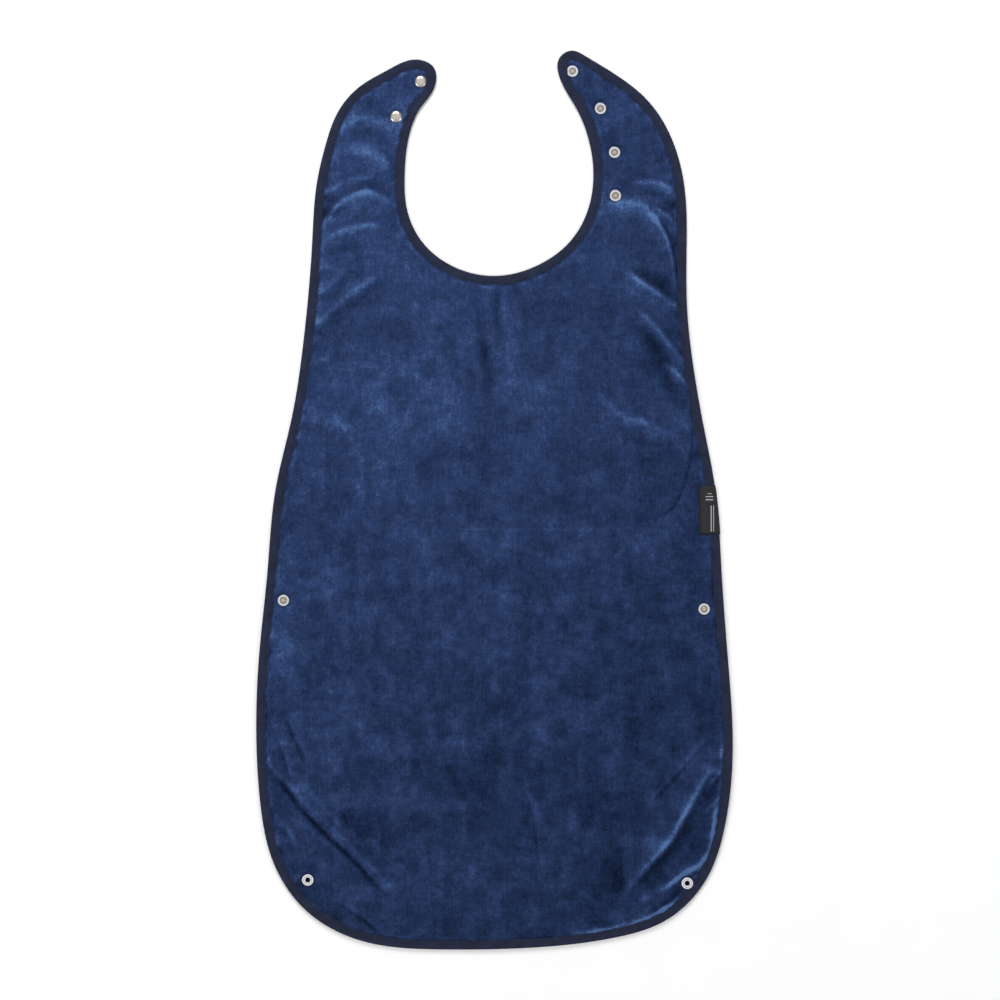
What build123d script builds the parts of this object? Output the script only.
from build123d import *
import os
from math import cos, radians, sin

os.makedirs("parts", exist_ok=True)

# A clothing protector lying flat, pile side up: X across, Y along towards the neck, Z up, mm.
# Z = 0 is the surface it lies on. The cloth rests on the domes of the snaps behind it.

# Edge of the cloth, clockwise from the tip of the left strap, down the outer side and back
# round the neck.
OUTLINE = [
    (-69, 392), (-94.5, 383), (-120.5, 367.5), (-139, 346), (-150.5, 315.5), (-158.5, 280),
    (-162, 235.5), (-165, 191), (-171, 133.5), (-181, 71), (-195, 9), (-202, -62),
    (-209.5, -138), (-212, -209), (-208.5, -269.5), (-197, -322), (-167.5, -365.5),
    (-119.5, -392), (-47.5, -400), (31.5, -398.5), (104.5, -390), (152.5, -374),
    (188, -338.5), (205, -290.5), (212, -218), (207.5, -138), (202, -62), (196.3, 11.5),
    (186, 66.5), (177.5, 115.5), (171.5, 169), (171, 222), (169.5, 275.5), (159.5, 317.5),
    (136.5, 355.5), (103.5, 381.5), (80.5, 395.5), (68, 400), (57.5, 393), (58, 376),
    (73.5, 347.5), (84, 320), (88, 289), (83.5, 259.5), (68, 231), (40.5, 210), (1.5, 199.5),
    (-38, 208.5), (-64.5, 230), (-78, 259.5), (-80, 289), (-76, 324.5), (-65.5, 349.5),
    (-54, 366), (-54, 385),
]

# Layers of the cloth.
SNAP_DEPTH = 1.6            # height of a cap or socket behind the cloth
BACKING_THICKNESS = 0.4
FLANGE_THICKNESS = 0.8      # velour squeezed under the binding
PILE_HEIGHT = 2.8           # velour with its loops standing
CRUSHED_THICKNESS = 0.4     # velour squeezed by a snap
TAPE_THICKNESS = 0.5
BINDING_WIDTH = 8.5
BINDING_CLEARANCE = 0.1
INSET_POINTS = 300          # points that carry the outline's curve to each inner pattern

BACKING_BOTTOM = SNAP_DEPTH
VELOUR_BOTTOM = BACKING_BOTTOM + BACKING_THICKNESS
FLANGE_TOP = VELOUR_BOTTOM + FLANGE_THICKNESS
VELOUR_TOP = VELOUR_BOTTOM + PILE_HEIGHT
CRUSHED_TOP = VELOUR_BOTTOM + CRUSHED_THICKNESS
BINDING_BOTTOM = BACKING_BOTTOM - TAPE_THICKNESS
BINDING_TOP = FLANGE_TOP + TAPE_THICKNESS
CLOTH_INSET = TAPE_THICKNESS + BINDING_CLEARANCE
PILE_INSET = BINDING_WIDTH + BINDING_CLEARANCE

# Lockstitch that holds the binding.
STITCH_INSET = 6.2
THREAD_WIDTH = 0.4
THREAD_HEIGHT = 0.25

# Folds. Each strap folds along two lines through the neck's centre, and the bottom folds
# up into a crumb pocket.
NECK_CENTRE = (2.2, 286.2)
SHOULDER_FOLD = -50         # right strap, degrees from +X; the left one mirrors it
TAB_FOLD = 2
POCKET_FOLD_Y = -216
FOLD_GAP = 0.5
REACH = 900                 # longer than any way across the bib
NECK_GAP = 20               # shorter than the way from the neck's centre to the cloth

# The edge's runs of binding: beyond this far to either side they are outer ones.
NECK_ZONE = 120

# Woven label folded round the right edge.
LABEL_TOP_Y = 12.4
LABEL_BOTTOM_Y = -30.6
LABEL_INNER_X = 182.2
LABEL_REACH = 30            # past the edge, before it is trimmed to the edge
LABEL_THICKNESS = 0.35
LABEL_CLEARANCE = 0.05

# Prong snaps: where each one is.
RIGHT_TAB_STUDS = [(69.4, 381.5), (94.3, 348.3), (106.8, 309.3)]
RIGHT_SHOULDER_STUDS = [(107.6, 270.8)]
LEFT_TAB_SOCKETS = [(-65.8, 372.5), (-87.6, 341.2)]
SIDE_STUDS = [(-187.8, -89.3), (186.5, -97)]
CORNER_SOCKETS = [(-166.1, -338), (171.5, -340.9)]

# Prong snaps: sizes.
SNAP_RADIUS = 5.25
SHEET_METAL = 0.3
CAP_RADIUS = 5.4
CAP_METAL = 0.25
CAP_FLAT_RADIUS = 2.6
CAP_SKIRT = 0.6
SNAP_RECESS_RADIUS = 5.65
STUD_RIM_HEIGHT = 1.1
STUD_CHANNEL_INNER = 3.2
STUD_HEIGHT = 2.6
POST_RADIUS = 2.0
HEAD_RADIUS = 2.15
HEAD_HEIGHT = 0.9
DIMPLE_RADIUS = 1.0
DIMPLE_DEPTH = 0.35
SOCKET_HOLE_RADIUS = 2.2
SOCKET_HUB_RADIUS = 3.15
SPRING_GROOVE_RADIUS = 2.75
SPRING_GROOVE_LOW = 0.55
SPRING_GROOVE_HIGH = 1.15
SPRING_WIRE_RADIUS = 0.2
SPRING_CENTRE_RADIUS = 2.27
PRONG_RING_RADIUS = 5.1
PRONG_RING_HOLE = 2.5
PRONG_CIRCLE = 4.2
PRONG_WIDTH = 0.9
PRONG_THICKNESS = 0.3
PRONG_LENGTH = 1.4          # from the ring's face, through the cloth, into the other half
PRONG_COUNT = 5
PRONG_SLOT_CLEARANCE = 0.1

CAP_SHOULDER = (4.0, 1.37)  # radius and height of a point on the dome's curve
CAP_INNER_SHOULDER = (3.8, 1.1)
CAP_RIM_RADIUS = 5.15
CAP_SEAT_RADIUS = 4.9
RIM_FILLET = 0.25
HEAD_CHAMFER = 0.3


def write(part, name):
    """Label one finished sub-part and write it out."""
    part.label = name
    export_step(part, f"parts/{name}.step")


# ---------------------------------------------------------------- flat patterns
with BuildLine() as outline:
    Spline(*OUTLINE, periodic=True)

edge_curve = outline.line.edge()


def inset(distance):
    """The bib's outline moved in by a distance, as a smooth curve of its own."""
    points = []
    for step in range(INSET_POINTS):
        along = step / INSET_POINTS
        inward = edge_curve.tangent_at(along).rotate(Axis.Z, 90)
        points.append(edge_curve.position_at(along) + inward * distance)
    with BuildSketch() as pattern:
        with BuildLine():
            Spline(*points, periodic=True)
        make_face()
    return pattern.sketch


edge_pattern = inset(0)


def from_neck(angle, distance, side):
    """A point along a fold line, half the fold's gap to one side of it."""
    turn = radians(angle)
    shift = side * FOLD_GAP / 2
    return (
        NECK_CENTRE[0] + distance * cos(turn) - shift * sin(turn),
        NECK_CENTRE[1] + distance * sin(turn) + shift * cos(turn),
    )


def sector(start, end):
    """Everything between two folds through the neck's centre."""
    with BuildSketch() as pattern:
        with BuildLine():
            Polyline(
                from_neck(start, NECK_GAP, 1),
                from_neck(start, REACH, 1),
                from_neck((start + end) / 2, 2 * REACH, 0),
                from_neck(end, REACH, -1),
                from_neck(end, NECK_GAP, -1),
                close=True,
            )
        make_face()
    return pattern.sketch


with BuildSketch() as above_pocket_fold:
    with Locations((0, POCKET_FOLD_Y + FOLD_GAP / 2)):
        Rectangle(2 * REACH, 2 * REACH, align=(Align.CENTER, Align.MIN))

with BuildSketch() as below_pocket_fold:
    with Locations((0, POCKET_FOLD_Y - FOLD_GAP / 2)):
        Rectangle(2 * REACH, 2 * REACH, align=(Align.CENTER, Align.MAX))

with BuildSketch() as chest_area:
    add(sector(180 - SHOULDER_FOLD, 360 + SHOULDER_FOLD))
    add(above_pocket_fold.sketch, mode=Mode.INTERSECT)

AREAS = {
    "chest": chest_area.sketch,
    "pocket": below_pocket_fold.sketch,
    "right_shoulder": sector(SHOULDER_FOLD, TAB_FOLD),
    "right_tab": sector(TAB_FOLD, 90),
    "left_shoulder": sector(180 - TAB_FOLD, 180 - SHOULDER_FOLD),
    "left_tab": sector(90, 180 - TAB_FOLD),
}

with BuildSketch() as left_zone:
    with Locations((-NECK_ZONE, 0)):
        Rectangle(REACH, 2 * REACH, align=(Align.MAX, Align.CENTER))

with BuildSketch() as neck_zone:
    Rectangle(2 * NECK_ZONE, 2 * REACH)

with BuildSketch() as right_zone:
    with Locations((NECK_ZONE, 0)):
        Rectangle(REACH, 2 * REACH, align=(Align.MIN, Align.CENTER))

with BuildSketch() as every_zone:
    Rectangle(2 * REACH, 2 * REACH)

EDGES = {
    "chest_left": (AREAS["chest"], left_zone.sketch),
    "chest_neck": (AREAS["chest"], neck_zone.sketch),
    "chest_right": (AREAS["chest"], right_zone.sketch),
    "pocket": (AREAS["pocket"], every_zone.sketch),
    "right_shoulder_outer": (AREAS["right_shoulder"], right_zone.sketch),
    "right_shoulder_neck": (AREAS["right_shoulder"], neck_zone.sketch),
    "right_tab": (AREAS["right_tab"], every_zone.sketch),
    "left_shoulder_outer": (AREAS["left_shoulder"], left_zone.sketch),
    "left_shoulder_neck": (AREAS["left_shoulder"], neck_zone.sketch),
    "left_tab": (AREAS["left_tab"], every_zone.sketch),
}

with BuildSketch() as label_area:
    with Locations((LABEL_INNER_X, LABEL_BOTTOM_Y)):
        Rectangle(
            LABEL_REACH,
            LABEL_TOP_Y - LABEL_BOTTOM_Y,
            align=(Align.MIN, Align.MIN),
        )

with BuildSketch() as stitch_line:
    add(inset(STITCH_INSET))
    add(inset(STITCH_INSET + THREAD_WIDTH), mode=Mode.SUBTRACT)
    add(label_area.sketch, mode=Mode.SUBTRACT)

with BuildSketch() as label_stitch_line:
    add(inset(STITCH_INSET))
    add(inset(STITCH_INSET + THREAD_WIDTH), mode=Mode.SUBTRACT)
    add(label_area.sketch, mode=Mode.INTERSECT)

ALL_SNAPS = (
    RIGHT_TAB_STUDS + RIGHT_SHOULDER_STUDS + LEFT_TAB_SOCKETS + SIDE_STUDS + CORNER_SOCKETS
)

with BuildSketch() as snap_recesses:
    with Locations(*ALL_SNAPS):
        Circle(SNAP_RECESS_RADIUS)

with BuildSketch() as prong_slots:
    with Locations(*ALL_SNAPS):
        with PolarLocations(PRONG_CIRCLE, PRONG_COUNT):
            Rectangle(
                PRONG_THICKNESS + PRONG_SLOT_CLEARANCE,
                PRONG_WIDTH + PRONG_SLOT_CLEARANCE,
            )

cloth_pattern = inset(CLOTH_INSET)
pile_pattern = inset(PILE_INSET)
binding_inner_pattern = inset(BINDING_WIDTH)
tape_inner_pattern = inset(TAPE_THICKNESS)

# ---------------------------------------------------------------- cloth, one set per body
for body, area in AREAS.items():
    with BuildPart() as velour:
        with BuildSketch(Plane.XY.offset(VELOUR_BOTTOM)):
            add(cloth_pattern)
            add(area, mode=Mode.INTERSECT)
            add(prong_slots.sketch, mode=Mode.SUBTRACT)
        extrude(amount=CRUSHED_THICKNESS)
        with BuildSketch(Plane.XY.offset(CRUSHED_TOP)):
            add(cloth_pattern)
            add(area, mode=Mode.INTERSECT)
            add(snap_recesses.sketch, mode=Mode.SUBTRACT)
        extrude(amount=FLANGE_TOP - CRUSHED_TOP)
        with BuildSketch(Plane.XY.offset(FLANGE_TOP)):
            add(pile_pattern)
            add(area, mode=Mode.INTERSECT)
            add(snap_recesses.sketch, mode=Mode.SUBTRACT)
        extrude(amount=BINDING_TOP - FLANGE_TOP)
        with BuildSketch(Plane.XY.offset(BINDING_TOP)):
            add(pile_pattern)
            add(area, mode=Mode.INTERSECT)
            add(snap_recesses.sketch, mode=Mode.SUBTRACT)
            add(label_area.sketch, mode=Mode.SUBTRACT)
        extrude(amount=VELOUR_TOP - BINDING_TOP)
    write(velour.part, f"{body}_velour")

    with BuildPart() as backing:
        with BuildSketch(Plane.XY.offset(BACKING_BOTTOM)):
            add(cloth_pattern)
            add(area, mode=Mode.INTERSECT)
            add(prong_slots.sketch, mode=Mode.SUBTRACT)
        extrude(amount=BACKING_THICKNESS)
    write(backing.part, f"{body}_backing")

# ---------------------------------------------------------------- edge, one set per run
for run, (area, zone) in EDGES.items():
    with BuildPart() as binding:
        with BuildSketch(Plane.XY.offset(BINDING_BOTTOM)):
            add(edge_pattern)
            add(binding_inner_pattern, mode=Mode.SUBTRACT)
            add(area, mode=Mode.INTERSECT)
            add(zone, mode=Mode.INTERSECT)
            add(snap_recesses.sketch, mode=Mode.SUBTRACT)
        extrude(amount=BINDING_TOP - BINDING_BOTTOM)
        with BuildSketch(Plane.XY.offset(BACKING_BOTTOM)):
            add(tape_inner_pattern)
        extrude(amount=FLANGE_TOP - BACKING_BOTTOM, mode=Mode.SUBTRACT)
    write(binding.part, f"{run}_binding")

    with BuildPart() as stitching:
        with BuildSketch(
            Plane.XY.offset(BINDING_TOP), Plane.XY.offset(BINDING_BOTTOM - THREAD_HEIGHT)
        ):
            add(stitch_line.sketch)
            add(area, mode=Mode.INTERSECT)
            add(zone, mode=Mode.INTERSECT)
        extrude(amount=THREAD_HEIGHT)
    write(stitching.part, f"{run}_stitching")

# ---------------------------------------------------------------- label
label_outside = LABEL_CLEARANCE + LABEL_THICKNESS

with BuildPart() as label:
    with BuildSketch(Plane.XY.offset(BINDING_BOTTOM - label_outside)):
        add(inset(-label_outside))
        add(label_area.sketch, mode=Mode.INTERSECT)
    extrude(amount=BINDING_TOP - BINDING_BOTTOM + 2 * label_outside)
    with BuildSketch(Plane.XY.offset(BINDING_BOTTOM - LABEL_CLEARANCE)):
        add(inset(-LABEL_CLEARANCE))
    extrude(amount=BINDING_TOP - BINDING_BOTTOM + 2 * LABEL_CLEARANCE, mode=Mode.SUBTRACT)
write(label.part, "label")

with BuildPart() as label_stitching:
    with BuildSketch(
        Plane.XY.offset(BINDING_TOP + label_outside),
        Plane.XY.offset(BINDING_BOTTOM - label_outside - THREAD_HEIGHT),
    ):
        add(label_stitch_line.sketch)
    extrude(amount=THREAD_HEIGHT)
write(label_stitching.part, "label_stitching")

# ---------------------------------------------------------------- one of each snap piece
# Each is made with the cloth's face at Z = 0 and the snap standing above it.
with BuildPart() as stud:
    with BuildSketch(Plane.XZ):
        with BuildLine():
            Polyline(
                (0, 0),
                (STUD_CHANNEL_INNER, 0),
                (STUD_CHANNEL_INNER, STUD_RIM_HEIGHT - SHEET_METAL),
                (SNAP_RADIUS - SHEET_METAL, STUD_RIM_HEIGHT - SHEET_METAL),
                (SNAP_RADIUS - SHEET_METAL, 0),
                (SNAP_RADIUS, 0),
                (SNAP_RADIUS, STUD_RIM_HEIGHT),
                (STUD_CHANNEL_INNER - SHEET_METAL, STUD_RIM_HEIGHT),
                (STUD_CHANNEL_INNER - SHEET_METAL, SHEET_METAL),
                (POST_RADIUS, SHEET_METAL),
                (POST_RADIUS, STUD_HEIGHT - HEAD_HEIGHT),
                (HEAD_RADIUS, STUD_HEIGHT - HEAD_HEIGHT + HEAD_CHAMFER),
                (HEAD_RADIUS, STUD_HEIGHT - HEAD_CHAMFER),
                (HEAD_RADIUS - HEAD_CHAMFER, STUD_HEIGHT),
                (DIMPLE_RADIUS, STUD_HEIGHT),
                (DIMPLE_RADIUS, STUD_HEIGHT - DIMPLE_DEPTH),
                (0, STUD_HEIGHT - DIMPLE_DEPTH),
                close=True,
            )
        make_face()
    revolve(axis=Axis.Z)
    rim = stud.edges().filter_by_position(Axis.Z, STUD_RIM_HEIGHT, STUD_RIM_HEIGHT)
    fillet(rim, RIM_FILLET)

with BuildPart() as socket:
    with BuildSketch(Plane.XZ):
        with BuildLine():
            Polyline(
                (SOCKET_HOLE_RADIUS, 0),
                (SOCKET_HUB_RADIUS, 0),
                (SOCKET_HUB_RADIUS, SNAP_DEPTH - SHEET_METAL),
                (SNAP_RADIUS - SHEET_METAL, SNAP_DEPTH - SHEET_METAL),
                (SNAP_RADIUS - SHEET_METAL, 0),
                (SNAP_RADIUS, 0),
                (SNAP_RADIUS, SNAP_DEPTH),
                (SOCKET_HOLE_RADIUS, SNAP_DEPTH),
                (SOCKET_HOLE_RADIUS, SPRING_GROOVE_HIGH),
                (SPRING_GROOVE_RADIUS, SPRING_GROOVE_HIGH),
                (SPRING_GROOVE_RADIUS, SPRING_GROOVE_LOW),
                (SOCKET_HOLE_RADIUS, SPRING_GROOVE_LOW),
                close=True,
            )
        make_face()
    revolve(axis=Axis.Z)
    rim = socket.edges().filter_by_position(Axis.Z, SNAP_DEPTH, SNAP_DEPTH)
    fillet(rim, RIM_FILLET)

with BuildPart() as spring:
    with BuildSketch(Plane.XZ):
        with Locations((SPRING_CENTRE_RADIUS, (SPRING_GROOVE_LOW + SPRING_GROOVE_HIGH) / 2)):
            Circle(SPRING_WIRE_RADIUS)
    revolve(axis=Axis.Z)

with BuildPart() as cap:
    with BuildSketch(Plane.XZ):
        with BuildLine():
            Polyline((0, SNAP_DEPTH), (CAP_FLAT_RADIUS, SNAP_DEPTH))
            ThreePointArc((CAP_FLAT_RADIUS, SNAP_DEPTH), CAP_SHOULDER, (CAP_RADIUS, CAP_SKIRT))
            Polyline(
                (CAP_RADIUS, CAP_SKIRT),
                (CAP_RADIUS, 0),
                (CAP_RIM_RADIUS, 0),
                (CAP_RIM_RADIUS, SHEET_METAL),
                (CAP_SEAT_RADIUS, SHEET_METAL),
            )
            ThreePointArc(
                (CAP_SEAT_RADIUS, SHEET_METAL),
                CAP_INNER_SHOULDER,
                (CAP_FLAT_RADIUS, SNAP_DEPTH - CAP_METAL),
            )
            Polyline(
                (CAP_FLAT_RADIUS, SNAP_DEPTH - CAP_METAL),
                (0, SNAP_DEPTH - CAP_METAL),
                (0, SNAP_DEPTH),
            )
        make_face()
    revolve(axis=Axis.Z)

with BuildPart() as prong_ring:
    with BuildSketch():
        Circle(PRONG_RING_RADIUS)
        Circle(PRONG_RING_HOLE, mode=Mode.SUBTRACT)
    extrude(amount=SHEET_METAL)
    with BuildSketch():
        with PolarLocations(PRONG_CIRCLE, PRONG_COUNT):
            Rectangle(PRONG_THICKNESS, PRONG_WIDTH)
    extrude(amount=-PRONG_LENGTH)


def front(points):
    """Places on the pile side."""
    return [Location((x, y, CRUSHED_TOP)) for x, y in points]


def back(points):
    """Places behind the cloth, turned over."""
    return [Location((x, y, BACKING_BOTTOM), (180, 0, 0)) for x, y in points]


# ---------------------------------------------------------------- snaps on each body
SNAP_NODES = {
    "right_tab_studs": (stud, front(RIGHT_TAB_STUDS)),
    "right_tab_caps": (cap, back(RIGHT_TAB_STUDS)),
    "right_tab_prong_rings": (prong_ring, back(RIGHT_TAB_STUDS)),
    "right_shoulder_stud": (stud, front(RIGHT_SHOULDER_STUDS)),
    "right_shoulder_cap": (cap, back(RIGHT_SHOULDER_STUDS)),
    "right_shoulder_prong_ring": (prong_ring, back(RIGHT_SHOULDER_STUDS)),
    "left_tab_caps": (cap, front(LEFT_TAB_SOCKETS)),
    "left_tab_prong_rings": (prong_ring, front(LEFT_TAB_SOCKETS)),
    "left_tab_sockets": (socket, back(LEFT_TAB_SOCKETS)),
    "left_tab_springs": (spring, back(LEFT_TAB_SOCKETS)),
    "side_studs": (stud, front(SIDE_STUDS)),
    "side_caps": (cap, back(SIDE_STUDS)),
    "side_prong_rings": (prong_ring, back(SIDE_STUDS)),
    "corner_sockets": (socket, front(CORNER_SOCKETS)),
    "corner_springs": (spring, front(CORNER_SOCKETS)),
    "corner_caps": (cap, back(CORNER_SOCKETS)),
    "corner_prong_rings": (prong_ring, back(CORNER_SOCKETS)),
}

for name, (piece, places) in SNAP_NODES.items():
    with BuildPart() as snap:
        with Locations(*places):
            add(piece.part)
    write(snap.part, name)
